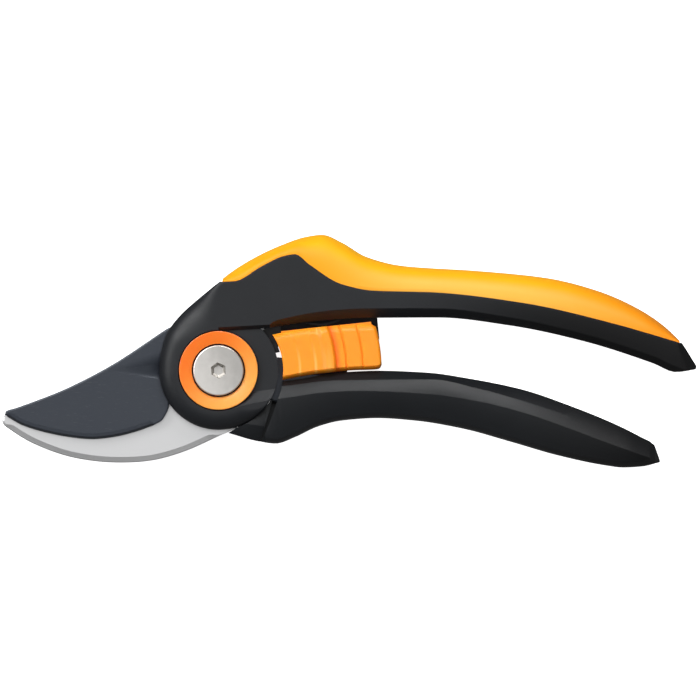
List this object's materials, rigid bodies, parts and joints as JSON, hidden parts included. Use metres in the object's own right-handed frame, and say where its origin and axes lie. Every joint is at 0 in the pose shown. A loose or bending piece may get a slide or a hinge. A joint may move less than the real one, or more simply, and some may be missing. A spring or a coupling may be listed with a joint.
{
  "type": "bypass pruner",
  "caption": "Hand-held bypass pruner with a curved cutting blade and hook, a soft-grip upper handle, a sprung pivot and a sliding thumb lock.",
  "frame": {"origin": "on the pivot axis, in the plane of the pivot nut's back face, on which the pruner lies", "axes": "+X from the pivot towards the handle ends, +Y towards the upper handle, +Z along the pivot axis out of the front face"},
  "size_m": [0.2009, 0.0672, 0.0177],
  "materials": {
    "black_nylon": "satin moulded, glass-fibre filled",
    "yellow_soft_grip": "soft-touch overmould",
    "orange_plastic": "semi-gloss moulded",
    "coated_steel": "dark low-friction coating",
    "bright_steel": "satin ground",
    "brushed_bolt_steel": "turned face",
    "spring_steel": "bright wire and strip",
    "bronze": "sintered, oiled"
  },
  "bodies": {
    "upper_handle": {"upper_handle_core": "black_nylon", "upper_soft_grip": "yellow_soft_grip", "hook_blade": "bright_steel", "front_bearing_ring": "orange_plastic", "back_bearing_ring": "orange_plastic", "pivot_bolt": "brushed_bolt_steel", "pivot_nut": "brushed_bolt_steel", "pivot_sleeve": "bronze", "thrust_washer": "bronze", "torsion_spring": "spring_steel", "slide_rail": "spring_steel", "detent_spring": "spring_steel", "hook_rivet_1": "spring_steel", "hook_rivet_2": "spring_steel"},
    "lower_handle": {"lower_handle_core": "black_nylon", "cutting_blade": "coated_steel", "blade_rivet_1": "spring_steel", "blade_rivet_2": "spring_steel"},
    "lock_slider": {"lock_slider_front": "orange_plastic", "lock_slider_back": "orange_plastic", "lock_slider_pin_1": "spring_steel", "lock_slider_pin_2": "spring_steel", "lock_pin": "spring_steel"}
  },
  "joints": [
    {"name": "handle_opening", "type": "hinge", "parent": "upper_handle", "child": "lower_handle", "pos_m": [0, 0, 0.00885], "axis": [0, 0, -1], "range_deg": [0, 35], "deforming": ["torsion_spring"]},
    {"name": "lock_slide", "type": "slide", "parent": "upper_handle", "child": "lock_slider", "axis": [0.9945, 0.1045, 0], "range_m": [0, 0.007]}
  ]
}
